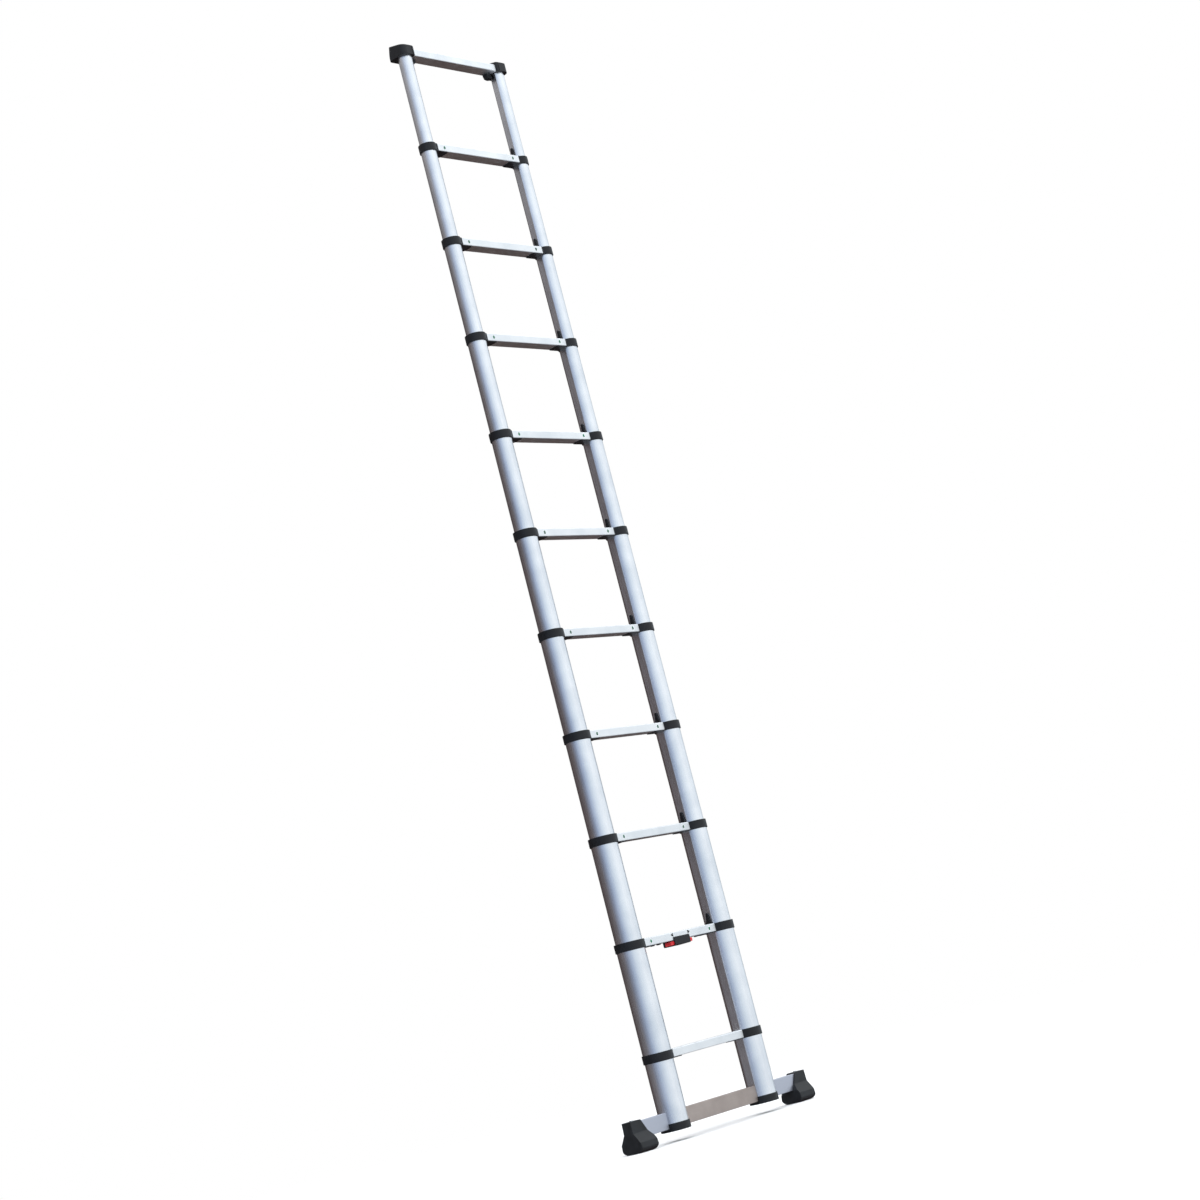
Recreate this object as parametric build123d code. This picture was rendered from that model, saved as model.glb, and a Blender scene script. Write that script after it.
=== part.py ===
from build123d import *
import math
import os

# Telescopic extension ladder, drawn fully extended and standing upright.
# Z is up, X runs along the rungs, -Y is the front and +Y the side that faces the wall.
# The origin is on the floor, midway between the stiles. All sizes are in millimetres.

# --- overall sizes ---------------------------------------------------------------------------
RUNG_COUNT = 11
SECTION_COUNT = RUNG_COUNT - 1
RUNG_PITCH = 292.0          # rung to rung, fully extended
FIRST_PITCH = 302.0         # the two fixed rungs of the bottom section
TOP_PITCH = 298.0           # top rung above the one below it, fully extended
CLOSED_PITCH = 60.0         # rung to rung, fully closed
CLOSED_GAP = 3.0            # from each release post to the collar above it, fully closed
FIRST_RUNG_Z = 224.0        # middle of the lowest rung above the floor
STILE_X = 190.0             # stile axis to the middle of the ladder

# --- stile tubes: nested D-shaped aluminium tubes, flat side towards the other stile ----------
BASE_RADIUS = 39.5          # outside radius of the bottom tube
TUBE_WALL = 1.5
TUBE_GAP = 0.6              # between one tube and the next inside it
FLAT_INSET = 2.1            # depth of the flat below the full round
TUBE_OVERLAP = 72.0         # length of tube below the rung that locks it
TUBE_TOP_DROP = 3.0         # tube end below the top of its collar
TUBE_FOOT_Z = 48.0          # lower end of the bottom tube

# --- rungs -----------------------------------------------------------------------------------
RUNG_DEPTH = 40.0
RUNG_HEIGHT = 22.0
RUNG_WALL = 1.6
RUNG_CORNER = 2.0
TREAD_RIBS = 6
RIB_WIDTH = 2.4
RIB_HEIGHT = 0.8
WINDOW_WIDTH = 5.0
WINDOW_HEIGHT = 8.5
WINDOW_INSET = 26.0         # window centre to the end of the rung

# --- collars and brackets --------------------------------------------------------------------
COLLAR_WALL = 3.2
COLLAR_FLAT_WALL = 2.2      # thickness between the flat of the tube and the rung
COLLAR_SKIRT = 2.0          # collar below the underside of the rung
COLLAR_CHAMFER = 0.8
COLLAR_LIP = 0.35           # clearance from the lip to the tube that slides through it
SEAT_GAP = 0.1              # between pieces that are pressed or screwed together
TONGUE_LENGTH = 38.0        # plate under the end of the rung
TONGUE_INSET = 1.0          # tongue inside the front and back faces of the rung
TONGUE_CORNER = 6.0
PLUG_LENGTH = 18.0          # bracket plug inside the end of the rung
PLUG_GAP = 0.3
POST_HEIGHT = CLOSED_PITCH - RUNG_HEIGHT - COLLAR_SKIRT - CLOSED_GAP
POST_TIP_RADIUS = 4.0
POST_TUBE_GAP = 0.4

# --- guide bushes at the lower ends of the moving tubes ---------------------------------------
BUSH_FLANGE = 6.0
BUSH_SPIGOT = 12.0
BUSH_SIDE_GAP = 0.3
BUSH_AIR_HOLE = 6.0

# --- lock pins -------------------------------------------------------------------------------
PIN_DIAMETER = 9.8
PIN_CLEARANCE = 0.3         # all round, in the collar and in the tubes
PIN_BORE = PIN_DIAMETER + 2 * PIN_CLEARANCE
PIN_CHAMFER = 1.0
PIN_TRAVEL = 6.0
PIN_TIP_GAP = 0.4           # pin tip to the inner tube when the pin is drawn back
PIN_HEAD_DIAMETER = 14.0
PIN_HEAD_LENGTH = 3.0
PIN_HEAD_GAP = 0.6          # head to plug when the pin is home

# --- release unit under rung 2 ---------------------------------------------------------------
HOUSING_LENGTH = 65.0
HOUSING_WALL = 3.0          # lip in front of the rung and behind it
HOUSING_DEPTH = RUNG_DEPTH + 2 * HOUSING_WALL
HOUSING_DROP = 14.0         # housing below the underside of the rung
HOUSING_LAP = 9.0           # housing up the front and back faces of the rung
HOUSING_CORNER = 3.0
BUTTON_DEPTH = 23.0
BUTTON_HEIGHT = 9.5
BUTTON_REACH = 14.0         # button outside the housing
BUTTON_GRIP = 16.0          # button inside the housing
BUTTON_GAP = 0.5
BUTTON_OFFSET_Y = -7.0
BUTTON_ROOF = 2.0           # from the underside of the rung to the top of a button
BUTTON_ROUND = 2.5
ROD_WIDTH = 8.0
ROD_THICKNESS = 3.0
ROD_SLOT_GAP = 0.8
ROD_TAB_LENGTH = 8.0
ROD_TAB_INSET = 2.0         # inner end of a button to its tab

# --- stabiliser bar, feet and boots ----------------------------------------------------------
BAR_LENGTH = 740.0
BAR_DEPTH = 25.0
BAR_HEIGHT = 44.0
BAR_WALL = 2.0
BAR_CORNER = 1.5
BAR_UNDERSIDE_Z = 35.0
BAR_Z = BAR_UNDERSIDE_Z + BAR_HEIGHT / 2
BAR_GAP = 0.3               # bar to the tubes, feet and boots round it
FOOT_DROP = 21.0            # foot below the lower end of the tube
FOOT_WALL = 2.0
FOOT_SPIGOT = 18.0
SCREW_DIAMETER = 8.0
SCREW_HEAD_DIAMETER = 14.0
SCREW_HEAD_LENGTH = 5.0
SCREW_LENGTH = 18.0
SCREW_SOCKET_RADIUS = 3.6
SCREW_SOCKET_DEPTH = 3.0
BOOT_LENGTH = 67.0
BOOT_TOP_LENGTH = 42.0      # the neck is cut back towards its top
BOOT_END_WALL = 4.0
BOOT_TOP_WALL = 4.0
BOOT_SIDE_WALL = 3.2
BOOT_NECK_Z = 52.0          # the sides flare a little down to the neck, then steeply
BOOT_NECK_FLARE = 1.5
BOOT_BEVEL_Z = 26.0
BOOT_BAND_Z = 12.0
BOOT_BAND_TAPER = 2.0
BOOT_HALF_WIDTH = 37.0
BOOT_SOLE_HALF = 18.0       # half width of the flat strip along the sole
BOOT_SOLE_BULGE = 2.0       # how far the sole's rounding stands out from a straight bevel
BOOT_CORNER = 6.0

# --- top caps with wall pads -----------------------------------------------------------------
CAP_HALF_WIDTH = 27.0
CAP_FRONT_RADIUS = 17.0
CAP_BACK_RADIUS = 7.0
CAP_BACK_REACH = 37.0
CAP_SKIRT = 1.0             # cap below the underside of the top rung
CAP_RISE = 6.0              # front of the cap above the top of the rung
CAP_EDGE = 2.5
LUG_DROP = 13.0             # rounded lugs that stiffen the ends of the top rung from below
LUG_WIDTH = 18.0
LUG_LENGTH = 20.0
LUG_OFFSET_Y = 10.0         # lug behind the middle of the rung
LUG_INSET = 3.0             # lug to the cap, clear of the post below it
LEAN_ANGLE = 15.0           # the pad stands upright when the ladder leans at this angle

SIDES = {"left": -1, "right": 1}
BIG = 400.0


def tube_radius(section):
    return BASE_RADIUS - (section - 1) * (TUBE_WALL + TUBE_GAP)


def tube_flat(section):
    """Distance from the stile axis to the flat of the tube."""
    return tube_radius(section) - FLAT_INSET


def rung_z(rung):
    if rung == 1:
        return FIRST_RUNG_Z
    moving = FIRST_RUNG_Z + FIRST_PITCH + (rung - 2) * RUNG_PITCH
    return moving + (TOP_PITCH - RUNG_PITCH if rung == RUNG_COUNT else 0)


def rung_end_x(section):
    """Half length of a rung that is carried by the tubes of this section."""
    return STILE_X - tube_flat(section) - COLLAR_FLAT_WALL - SEAT_GAP


def tube_top(section):
    return rung_z(section + 1) + RUNG_HEIGHT / 2 - TUBE_TOP_DROP


def tube_bottom(section):
    if section == 1:
        return TUBE_FOOT_Z
    return rung_z(section) - TUBE_OVERLAP


def d_shape(radius, inset=FLAT_INSET):
    """D section about its own axis, for the right stile: the flat is on the -X side."""
    flat = radius - inset
    return Circle(radius) - Pos(-flat - BIG / 2, 0) * Rectangle(BIG, BIG)


def prism(sketch, z_low, z_high):
    return Pos(0, 0, z_low) * extrude(sketch, z_high - z_low)


def box(x0, x1, y0, y1, z0, z1):
    solid = Box(x1 - x0, y1 - y0, z1 - z0)
    return Pos((x0 + x1) / 2, (y0 + y1) / 2, (z0 + z1) / 2) * solid


def rod_x(diameter, x0, x1, y=0.0, z=0.0):
    """Round bar or bore along X."""
    bar = Rot(0, 90, 0) * Cylinder(diameter / 2, x1 - x0)
    return Pos((x0 + x1) / 2, y, z) * bar


def both_sides(right_local):
    """Place a piece drawn about the stile axis on the right stile and mirror it to the left."""
    right = Pos(STILE_X, 0, 0) * right_local
    return right, mirror(right, Plane.YZ)


def write(name, *shapes):
    solids = [solid for shape in shapes for solid in shape.solids()]
    node = solids[0] if len(solids) == 1 else Compound(children=solids)
    node.label = name
    export_step(node, f"parts/{name}.step")


# --- stile tubes -----------------------------------------------------------------------------
def stile_tube(section):
    radius = tube_radius(section)
    outline = d_shape(radius) - d_shape(radius - TUBE_WALL)
    tube = prism(outline, tube_bottom(section), tube_top(section))
    flat = tube_flat(section)
    hole_ends = (-flat - TUBE_WALL, -flat + 2 * TUBE_WALL)
    if section < SECTION_COUNT:
        tube -= rod_x(PIN_BORE, *hole_ends, z=rung_z(section + 1))
    if section > 1:
        return tube - rod_x(PIN_BORE, *hole_ends, z=rung_z(section))
    half = BAR_DEPTH / 2 + BAR_GAP
    bar_top = BAR_Z + BAR_HEIGHT / 2 + BAR_GAP
    return tube - box(-BIG, BIG, -half, half, 0, bar_top)


# --- rungs -----------------------------------------------------------------------------------
def rung_profile():
    """Hollow section in the YZ plane, with tread ribs along the top."""
    wall = 2 * RUNG_WALL
    outer = RectangleRounded(RUNG_DEPTH, RUNG_HEIGHT, RUNG_CORNER)
    pitch = (RUNG_DEPTH - 2 * RUNG_CORNER) / TREAD_RIBS
    for index in range(TREAD_RIBS):
        y = (index - (TREAD_RIBS - 1) / 2) * pitch
        outer += Pos(y, RUNG_HEIGHT / 2) * Rectangle(RIB_WIDTH, 2 * RIB_HEIGHT)
    return outer - Rectangle(RUNG_DEPTH - wall, RUNG_HEIGHT - wall)


def rung(number):
    section = max(1, number - 1)
    half = rung_end_x(section)
    across = Plane(origin=(-half, 0, rung_z(number)), x_dir=(0, 1, 0), z_dir=(1, 0, 0))
    body = extrude(across * rung_profile(), 2 * half)
    if 2 <= number <= SECTION_COUNT:
        facing_front = Rot(90, 0, 0) * SlotOverall(WINDOW_HEIGHT, WINDOW_WIDTH, 90)
        slot = extrude(facing_front, RUNG_WALL, both=True)
        for side in SIDES.values():
            x = side * (half - WINDOW_INSET)
            body -= Pos(x, -RUNG_DEPTH / 2, rung_z(number)) * slot
    if number == 2:
        body -= rod_slots(number)
    return body


def rod_slots(number):
    """Slots in the underside of the rung for the tabs of the release rods."""
    low = rung_z(number) - RUNG_HEIGHT / 2
    y_half = ROD_WIDTH / 2 + ROD_SLOT_GAP
    slots = []
    for side in SIDES.values():
        x0 = rod_tab_x() - ROD_SLOT_GAP
        x1 = rod_tab_x() + ROD_TAB_LENGTH + PIN_TRAVEL + ROD_SLOT_GAP
        x0, x1 = sorted((side * x0, side * x1))
        slots.append(box(x0, x1, -y_half, y_half, low - 1, low + 2 * RUNG_WALL))
    return slots


# --- collars, brackets and bushes ------------------------------------------------------------
def rung_plug(section, z):
    """Block that fills the end of the rung, up to the flat of the tube."""
    flat = tube_flat(section)
    half_y = RUNG_DEPTH / 2 - RUNG_WALL - PLUG_GAP
    half_z = RUNG_HEIGHT / 2 - RUNG_WALL - PLUG_GAP
    return box(-flat - COLLAR_FLAT_WALL - PLUG_LENGTH, -flat, -half_y, half_y, z - half_z, z + half_z)


def rung_tongue(section, z):
    """Rounded plate that carries the underside of the rung."""
    flat = tube_flat(section)
    length = COLLAR_FLAT_WALL + TONGUE_LENGTH
    plan = Pos(-flat - length / 2, 0) * Rectangle(length, RUNG_DEPTH - 2 * TONGUE_INSET)
    plan = fillet(plan.vertices().group_by(Axis.X)[0], TONGUE_CORNER)
    under = z - RUNG_HEIGHT / 2
    return prism(plan, under - COLLAR_SKIRT, under - SEAT_GAP)


def bracket(section, z, lip):
    """Ring round the tube, with a block and a plug that hold the end of the rung."""
    radius = tube_radius(section)
    flat = tube_flat(section)
    high = z + RUNG_HEIGHT / 2
    low = z - RUNG_HEIGHT / 2 - COLLAR_SKIRT
    ring_inset = COLLAR_WALL - COLLAR_FLAT_WALL + FLAT_INSET
    ring = prism(d_shape(radius + COLLAR_WALL, ring_inset), low, high)
    block = box(-flat - COLLAR_FLAT_WALL, 0, -RUNG_DEPTH / 2, RUNG_DEPTH / 2, low, high)
    socket_top = tube_top(section) + SEAT_GAP if lip else high + 1
    socket = prism(d_shape(radius + SEAT_GAP), low - 1, socket_top)
    body = ring + block + rung_plug(section, z) - socket
    body = chamfer(body.edges().group_by(Axis.Z)[0], COLLAR_CHAMFER) + rung_tongue(section, z)
    if lip:
        inner = tube_radius(section + 1) + COLLAR_LIP
        body -= prism(d_shape(inner), low - 1, high + 1)
    return body


def release_post(section):
    """Round-topped post beside the tube that slides through the collar."""
    face = tube_flat(section + 1) + POST_TUBE_GAP
    thickness = tube_flat(section) + COLLAR_FLAT_WALL - face
    base_z = rung_z(section + 1) + RUNG_HEIGHT / 2
    half = math.sqrt(tube_radius(section + 1) ** 2 - tube_flat(section + 1) ** 2)
    tip_z = POST_HEIGHT - POST_TIP_RADIUS
    shoulder = half * 0.55
    left = Polyline((-POST_TIP_RADIUS, tip_z), (-shoulder, tip_z * 0.4), (-half, -SEAT_GAP))
    base = Line((-half, -SEAT_GAP), (half, -SEAT_GAP))
    right = Polyline((half, -SEAT_GAP), (shoulder, tip_z * 0.4), (POST_TIP_RADIUS, tip_z))
    tip = ThreePointArc((POST_TIP_RADIUS, tip_z), (0, POST_HEIGHT), (-POST_TIP_RADIUS, tip_z))
    outline = make_face([left, base, right, tip])
    across = Plane(origin=(-face - thickness, 0, base_z), x_dir=(0, 1, 0), z_dir=(1, 0, 0))
    return extrude(across * outline, thickness)


def collar(section):
    """Collar at the top of a tube, with the bore of the lock pin."""
    z = rung_z(section + 1)
    flat = tube_flat(section)
    body = bracket(section, z, lip=True) + release_post(section)
    return body - rod_x(PIN_BORE, -flat - COLLAR_FLAT_WALL - PLUG_LENGTH - 1, -flat + 3, z=z)


def bush(section):
    """Guide bush that closes the lower end of a moving tube."""
    radius = tube_radius(section)
    low = tube_bottom(section)
    side_gap = TUBE_GAP - BUSH_SIDE_GAP
    flange = prism(d_shape(radius + side_gap), low - BUSH_FLANGE, low - SEAT_GAP)
    spigot = prism(d_shape(radius - TUBE_WALL - SEAT_GAP), low - 2 * SEAT_GAP, low + BUSH_SPIGOT)
    return flange + spigot - Pos(0, 0, low) * Cylinder(BUSH_AIR_HOLE / 2, 4 * BUSH_SPIGOT)


def cap_side_profile():
    """Side view of a top cap: the back is upright and the top level when the ladder leans."""
    slope = math.tan(math.radians(LEAN_ANGLE))
    low = -RUNG_HEIGHT / 2 - CAP_SKIRT
    high = RUNG_HEIGHT / 2 + CAP_RISE
    front = -CAP_HALF_WIDTH
    run = (CAP_BACK_REACH - front - slope * (high - low)) / (1 + slope ** 2)
    back_top = (front + run, high + slope * run)
    corners = [(front, low), (CAP_BACK_REACH, low), back_top, (front, high)]
    return make_face(Polyline(*corners, close=True))


def rung_lug(section, z):
    """Lug below the back of the top rung's end, rounded towards the middle of the ladder."""
    cap = -tube_flat(section) - COLLAR_FLAT_WALL
    outer = cap - LUG_INSET
    inner = outer - LUG_LENGTH
    under = z - RUNG_HEIGHT / 2
    root = -COLLAR_SKIRT / 2
    low = -COLLAR_SKIRT - LUG_DROP
    bend = (inner + 0.15 * LUG_LENGTH, root + 0.7 * (low - root))
    bottom = (inner + LUG_LENGTH / 2, low)
    outline = make_face([
        ThreePointArc((inner, root), bend, bottom),
        Polyline(bottom, (outer, low), (outer, root), (inner, root)),
    ])
    back = LUG_OFFSET_Y + LUG_WIDTH / 2
    across = Plane(origin=(0, back, under), x_dir=(1, 0, 0), z_dir=(0, -1, 0))
    plate = box(inner, cap + 1, back - LUG_WIDTH, back, under - COLLAR_SKIRT, under - SEAT_GAP)
    return extrude(across * outline, LUG_WIDTH) + plate


def top_cap():
    """Cap over the end of the top tube, with a pad that rests on the wall."""
    section = SECTION_COUNT
    z = rung_z(RUNG_COUNT)
    flat = tube_flat(section)
    depth = CAP_HALF_WIDTH + CAP_BACK_REACH
    middle = (CAP_BACK_REACH - CAP_HALF_WIDTH) / 2
    plan = Pos(0, middle) * Rectangle(2 * CAP_HALF_WIDTH, depth)
    plan = fillet(plan.vertices().group_by(Axis.Y)[0], CAP_FRONT_RADIUS)
    plan = fillet(plan.vertices().group_by(Axis.Y)[-1], CAP_BACK_RADIUS)
    plan -= Pos(-flat - COLLAR_FLAT_WALL - BIG / 2, 0) * Rectangle(BIG, BIG)
    block = prism(plan, z - BIG / 4, z + BIG / 4)
    across = Plane(origin=(-BIG / 2, 0, z), x_dir=(0, 1, 0), z_dir=(1, 0, 0))
    block &= extrude(across * cap_side_profile(), BIG)
    block = fillet(block.faces().sort_by(Axis.Z)[-1].edges(), CAP_EDGE)
    socket = prism(d_shape(tube_radius(section) + SEAT_GAP), z - BIG / 2, tube_top(section) + SEAT_GAP)
    return block + rung_plug(section, z) + rung_lug(section, z) - socket


# --- lock pins and release unit --------------------------------------------------------------
def lock_pin(rung_number):
    """Spring-loaded pin in the end of a rung, drawn back clear of the inner tube."""
    section = rung_number - 1
    z = rung_z(rung_number)
    tip = -tube_flat(section + 1) - PIN_TIP_GAP
    plug_end = -tube_flat(section) - COLLAR_FLAT_WALL - PLUG_LENGTH
    head = plug_end - PIN_TRAVEL - PIN_HEAD_GAP
    shank = rod_x(PIN_DIAMETER, head, tip, z=z)
    shank = chamfer(shank.edges().sort_by(Axis.X)[-1], PIN_CHAMFER)
    return shank + rod_x(PIN_HEAD_DIAMETER, head - PIN_HEAD_LENGTH, head, z=z)


def rod_tab_x():
    """Distance from the middle of the rung to the near edge of the rod's tab."""
    return HOUSING_LENGTH / 2 - BUTTON_GRIP + ROD_TAB_INSET


def button_z():
    """Upper face of the release buttons."""
    return rung_z(2) - RUNG_HEIGHT / 2 - BUTTON_ROOF


def release_button():
    """Red button of the right side, with the rod that reaches the lock pin of rung 2."""
    z = rung_z(2)
    x0 = HOUSING_LENGTH / 2 - BUTTON_GRIP
    x1 = HOUSING_LENGTH / 2 + BUTTON_REACH
    y0 = BUTTON_OFFSET_Y - BUTTON_DEPTH / 2
    y1 = BUTTON_OFFSET_Y + BUTTON_DEPTH / 2
    button = box(x0, x1, y0, y1, button_z() - BUTTON_HEIGHT, button_z())
    button = fillet(button.faces().sort_by(Axis.X)[-1].edges(), BUTTON_ROUND)
    plug_end = STILE_X - tube_flat(1) - COLLAR_FLAT_WALL - PLUG_LENGTH
    head = plug_end - PIN_TRAVEL - PIN_HEAD_GAP - PIN_HEAD_LENGTH
    tab = rod_tab_x()
    half = ROD_WIDTH / 2
    rod = box(tab, head - SEAT_GAP, -half, half, z - ROD_THICKNESS / 2, z + ROD_THICKNESS / 2)
    rod += box(tab, tab + ROD_TAB_LENGTH, -half, half, button_z() - 1, z)
    return button + rod


def release_housing():
    """Cover under the middle of rung 2 that guides both release buttons."""
    z = rung_z(2)
    under = z - RUNG_HEIGHT / 2
    half_x = HOUSING_LENGTH / 2
    half_y = HOUSING_DEPTH / 2
    shell = box(-half_x, half_x, -half_y, half_y, under - HOUSING_DROP, under + HOUSING_LAP)
    shell = fillet(shell.edges().filter_by(Axis.X).group_by(Axis.Z)[0], HOUSING_CORNER)
    saddle_y = RUNG_DEPTH / 2 + SEAT_GAP
    shell -= box(-BIG, BIG, -saddle_y, saddle_y, under - SEAT_GAP, z + BIG)
    y0 = BUTTON_OFFSET_Y - BUTTON_DEPTH / 2 - BUTTON_GAP
    y1 = BUTTON_OFFSET_Y + BUTTON_DEPTH / 2 + BUTTON_GAP
    low = button_z() - BUTTON_HEIGHT - BUTTON_GAP
    for side in SIDES.values():
        x0, x1 = sorted((side * (half_x - BUTTON_GRIP - BUTTON_GAP), side * (half_x + 1)))
        shell -= box(x0, x1, y0, y1, low, under + 1)
    return shell


# --- base ------------------------------------------------------------------------------------
def stabiliser_bar():
    low = BAR_UNDERSIDE_Z
    high = BAR_UNDERSIDE_Z + BAR_HEIGHT
    half = BAR_DEPTH / 2
    outer = box(-BAR_LENGTH / 2, BAR_LENGTH / 2, -half, half, low, high)
    outer = fillet(outer.edges().filter_by(Axis.X), BAR_CORNER)
    wall = BAR_WALL
    bar = outer - box(-BAR_LENGTH, BAR_LENGTH, -half + wall, half - wall, low + wall, high - wall)
    for side in SIDES.values():
        bar -= Pos(side * STILE_X, 0, low) * Cylinder(SCREW_DIAMETER / 2 + SEAT_GAP, 4 * wall)
    return bar


def foot_z():
    """Underside of the stile feet."""
    return TUBE_FOOT_Z - FOOT_DROP


def stile_foot():
    """Foot that closes the bottom tube and holds it on the bar."""
    radius = tube_radius(1)
    foot = prism(d_shape(radius + FOOT_WALL), foot_z(), TUBE_FOOT_Z - SEAT_GAP)
    foot += prism(d_shape(radius - TUBE_WALL - SEAT_GAP), foot_z(), TUBE_FOOT_Z + FOOT_SPIGOT)
    half = BAR_DEPTH / 2 + SEAT_GAP
    low = BAR_UNDERSIDE_Z - SEAT_GAP
    foot -= box(-BIG, BIG, -half, half, low, low + 2 * BAR_HEIGHT)
    foot -= Pos(0, 0, low) * Cylinder(SCREW_DIAMETER / 2 + SEAT_GAP, 6 * FOOT_DROP)
    head_depth = SCREW_HEAD_LENGTH + SEAT_GAP
    recess = Cylinder(SCREW_HEAD_DIAMETER / 2 + SEAT_GAP, 2 * head_depth)
    return foot - Pos(0, 0, foot_z()) * recess


def foot_screw():
    low = foot_z() + SEAT_GAP
    head_top = low + SCREW_HEAD_LENGTH
    head = prism(Circle(SCREW_HEAD_DIAMETER / 2), low, head_top)
    shank = prism(Circle(SCREW_DIAMETER / 2), head_top, head_top + SCREW_LENGTH)
    return head + shank - prism(RegularPolygon(SCREW_SOCKET_RADIUS, 6), low - 1, low + SCREW_SOCKET_DEPTH)


def boot_outline():
    """End view of a boot: a neck round the bar, bevels out to a wide band, and a rounded sole."""
    top = BAR_Z + BAR_HEIGHT / 2 + BOOT_TOP_WALL
    top_half = BAR_DEPTH / 2 + BOOT_SIDE_WALL
    side = [
        (top_half, top),
        (top_half + BOOT_NECK_FLARE, BOOT_NECK_Z),
        (BOOT_HALF_WIDTH - BOOT_BAND_TAPER, BOOT_BEVEL_Z),
        (BOOT_HALF_WIDTH, BOOT_BAND_Z),
    ]
    mirrored = [(-y, z) for y, z in reversed(side)]
    round_y = (BOOT_HALF_WIDTH + BOOT_SOLE_HALF) / 2 + BOOT_SOLE_BULGE
    round_z = BOOT_BAND_Z / 2 - BOOT_SOLE_BULGE
    return make_face([
        Polyline(*side),
        ThreePointArc(side[-1], (round_y, round_z), (BOOT_SOLE_HALF, 0)),
        Line((BOOT_SOLE_HALF, 0), (-BOOT_SOLE_HALF, 0)),
        ThreePointArc((-BOOT_SOLE_HALF, 0), (-round_y, round_z), mirrored[0]),
        Polyline(*mirrored),
        Line(mirrored[-1], side[0]),
    ])


def boot():
    """Rubber boot over the right end of the bar."""
    x_end = BAR_LENGTH / 2 + BOOT_END_WALL
    top = BAR_Z + BAR_HEIGHT / 2 + BOOT_TOP_WALL
    across = Plane(origin=(x_end - BOOT_LENGTH, 0, 0), x_dir=(0, 1, 0), z_dir=(1, 0, 0))
    body = extrude(across * boot_outline(), BOOT_LENGTH)
    plan = Pos(x_end - BOOT_LENGTH / 2, 0) * Rectangle(BOOT_LENGTH, 2 * BOOT_HALF_WIDTH + 2)
    plan = fillet(plan.vertices().group_by(Axis.X)[-1], BOOT_CORNER)
    body &= prism(plan, -1, top + 1)
    body -= boot_cut_back(x_end, top)
    half_y = BAR_DEPTH / 2 + SEAT_GAP
    half_z = BAR_HEIGHT / 2 + SEAT_GAP
    return body - box(0, BAR_LENGTH / 2 + SEAT_GAP, -half_y, half_y, BAR_Z - half_z, BAR_Z + half_z)


def boot_cut_back(x_end, top):
    """Wedge cut off the inner end of the neck."""
    inner = x_end - BOOT_LENGTH
    inner_top = x_end - BOOT_TOP_LENGTH
    corners = [
        (inner - 1, BAR_UNDERSIDE_Z),
        (inner, BAR_UNDERSIDE_Z),
        (inner_top, top),
        (inner_top, top + 1),
        (inner - 1, top + 1),
    ]
    reach = BOOT_HALF_WIDTH + 1
    facing_front = Plane(origin=(0, reach, 0), x_dir=(1, 0, 0), z_dir=(0, -1, 0))
    return extrude(facing_front * make_face(Polyline(*corners, close=True)), 2 * reach)


# --- build -----------------------------------------------------------------------------------
def build_sections():
    for section in range(1, SECTION_COUNT + 1):
        write(f"stile_tubes_{section}", *both_sides(stile_tube(section)))
        if section == 1:
            write("collars_1", *both_sides(collar(section)))
        elif section < SECTION_COUNT:
            name = f"collars_and_bushes_{section}"
            write(name, *both_sides(collar(section)), *both_sides(bush(section)))
        else:
            write("top_caps_and_bushes", *both_sides(top_cap()), *both_sides(bush(section)))
    for number in range(1, RUNG_COUNT + 1):
        write(f"rung_{number}", rung(number))
    write("rung_1_brackets", *both_sides(bracket(1, rung_z(1), lip=False)))


def build_locks():
    for number in range(2, SECTION_COUNT + 1):
        right, left = both_sides(lock_pin(number))
        write(f"lock_pin_{number}_right", right)
        write(f"lock_pin_{number}_left", left)
    write("release_housing", release_housing())
    write("release_button_right", release_button())
    write("release_button_left", mirror(release_button(), Plane.YZ))


def build_base():
    write("stabiliser_bar", stabiliser_bar())
    write("stile_feet", *both_sides(stile_foot()))
    write("foot_screws", *both_sides(foot_screw()))
    write("boot_right", boot())
    write("boot_left", mirror(boot(), Plane.YZ))


os.makedirs("parts", exist_ok=True)
build_sections()
build_locks()
build_base()
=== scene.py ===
"""Finishes, fittings and studio for the telescopic extension ladder.

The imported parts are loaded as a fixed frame. Aluminium parts keep their own meshes and get their
finish here. Moulded parts are replaced by copies with rounded edges, and the windows, rivets,
screws, wall pads and printed marks are modelled and fitted to the bodies that carry them.
"""

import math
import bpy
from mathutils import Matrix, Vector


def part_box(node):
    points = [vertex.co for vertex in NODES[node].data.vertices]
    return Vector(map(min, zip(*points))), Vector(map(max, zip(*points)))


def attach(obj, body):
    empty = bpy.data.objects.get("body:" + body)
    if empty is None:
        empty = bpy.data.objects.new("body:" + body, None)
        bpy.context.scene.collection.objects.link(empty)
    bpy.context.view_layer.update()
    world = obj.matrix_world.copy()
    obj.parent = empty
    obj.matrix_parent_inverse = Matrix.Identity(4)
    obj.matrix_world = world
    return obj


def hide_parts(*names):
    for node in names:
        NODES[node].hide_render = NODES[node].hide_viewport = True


bl_info = {
    "name": "Telescopic Ladder Finishes",
    "version": (1, 0, 0),
    "blender": (4, 5, 0),
    "location": "View3D > Sidebar > Ladder",
    "description": "Finishes, fittings and studio for a telescopic extension ladder",
    "category": "Object",
}

import bmesh
import bpy
from mathutils import Matrix, Vector

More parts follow.
